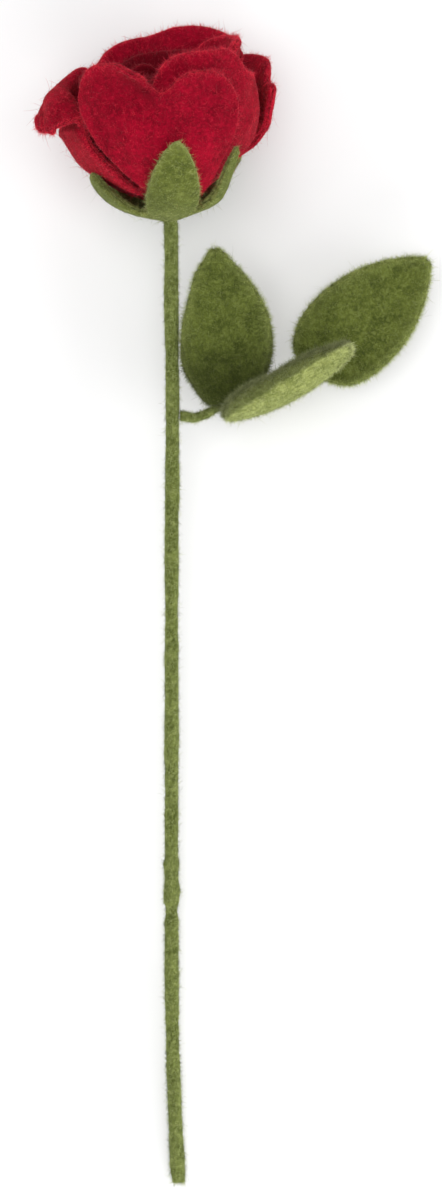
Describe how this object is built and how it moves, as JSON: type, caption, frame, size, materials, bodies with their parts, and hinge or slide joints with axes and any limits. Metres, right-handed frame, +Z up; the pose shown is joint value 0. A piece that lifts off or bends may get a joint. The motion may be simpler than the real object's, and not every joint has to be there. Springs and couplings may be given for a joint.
{
  "type": "felt rose",
  "caption": "Long-stemmed rose of thick wool felt: heart-shaped red petals round a rolled bud, green pointed calyx, wool-covered wire stem and a side twig with leaflets; it lies on its side.",
  "frame": {"origin": "middle of the bounding box in plan, at the height of the table that the rose lies on", "axes": "+X to the twig's side, +Y along the stem towards the flower, +Z up from the table"},
  "size_m": [0.1572, 0.4528, 0.0833],
  "materials": {
    "red_felt": "fuzzy wool felt",
    "leaf_felt": "fuzzy wool felt",
    "stem_wool": "needle-felted wool",
    "wire": "drawn wire"
  },
  "bodies": {
    "rose": {"stem_wire": "wire", "stem_sleeve_lower": "stem_wool", "stem_sleeve_upper": "stem_wool", "petal_outer_front": "red_felt", "petal_outer_right": "red_felt", "petal_outer_back_right": "red_felt", "petal_outer_back_left": "red_felt", "petal_outer_left": "red_felt", "petal_middle_1": "red_felt", "petal_middle_2": "red_felt", "petal_middle_3": "red_felt", "petal_middle_4": "red_felt", "petal_middle_5": "red_felt", "petal_inner_1": "red_felt", "petal_inner_2": "red_felt", "petal_inner_3": "red_felt", "bud_core": "red_felt", "calyx_star": "leaf_felt"},
    "twig": {"twig_sleeve": "stem_wool", "twig_wire": "wire"},
    "upper_leaflet": {"leaf_upper": "leaf_felt"},
    "end_leaflet": {"leaf_end": "leaf_felt"},
    "lower_leaflet": {"leaf_lower": "leaf_felt"}
  },
  "joints": [
    {"name": "twig_bend", "type": "hinge", "parent": "rose", "child": "twig", "pos_m": [-0.01728, 0.07379, 0.02272], "axis": [0, 0, 1], "range_deg": [-35, 0]},
    {"name": "upper_leaflet_bend", "type": "hinge", "parent": "twig", "child": "upper_leaflet", "pos_m": [-0.00234, 0.07841, 0.01941], "axis": [0.8697, 0.3983, -0.2915], "range_deg": [-12, 4]},
    {"name": "end_leaflet_bend", "type": "hinge", "parent": "twig", "child": "end_leaflet", "pos_m": [0.02922, 0.09009, 0.00972], "axis": [0.682, -0.7314, 0], "range_deg": [-4, 8]},
    {"name": "lower_leaflet_bend", "type": "hinge", "parent": "twig", "child": "lower_leaflet", "pos_m": [-0.00234, 0.07841, 0.01941], "axis": [0, 0, 1], "range_deg": [-25, 0]}
  ]
}
